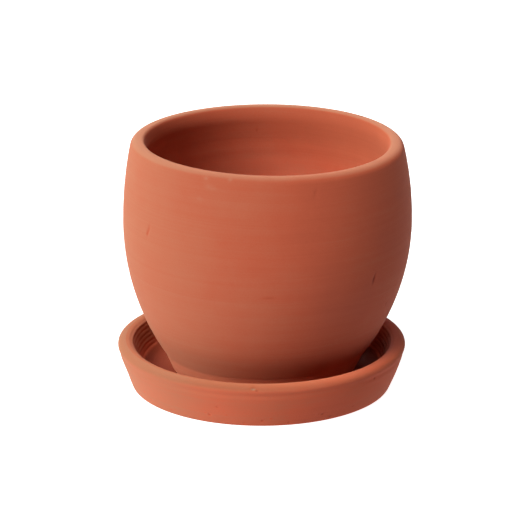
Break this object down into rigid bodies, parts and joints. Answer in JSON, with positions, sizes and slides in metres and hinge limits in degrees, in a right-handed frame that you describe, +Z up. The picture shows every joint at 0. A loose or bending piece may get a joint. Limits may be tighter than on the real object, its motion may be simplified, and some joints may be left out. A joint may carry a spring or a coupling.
{
  "type": "terracotta plant pot",
  "caption": "Round-bellied unglazed clay plant pot with a rolled rim and a drained base, standing loose in a matching shallow saucer with a rounded lip.",
  "frame": {"origin": "middle of the saucer's flat underside, on the surface that the saucer stands on", "axes": "+Z up along the saucer's own axis; +X towards the side to which the loose pot stands off centre; +Y away from the side where the saucer has a small chip below its lip"},
  "size_m": [0.1471, 0.1456, 0.1273],
  "materials": {
    "pot_clay": "matte unglazed orange-red fired clay with faint turning lines",
    "saucer_clay": "matte unglazed orange-red fired clay, a little redder and rougher, pitted along the bottom edge"
  },
  "bodies": {
    "saucer": {"saucer": "saucer_clay"},
    "pot": {"pot": "pot_clay"}
  },
  "joints": [
    {"name": "pot_lift", "type": "slide", "parent": "saucer", "child": "pot", "axis": [0, 0, 1], "range_m": [0, 0.06]}
  ]
}
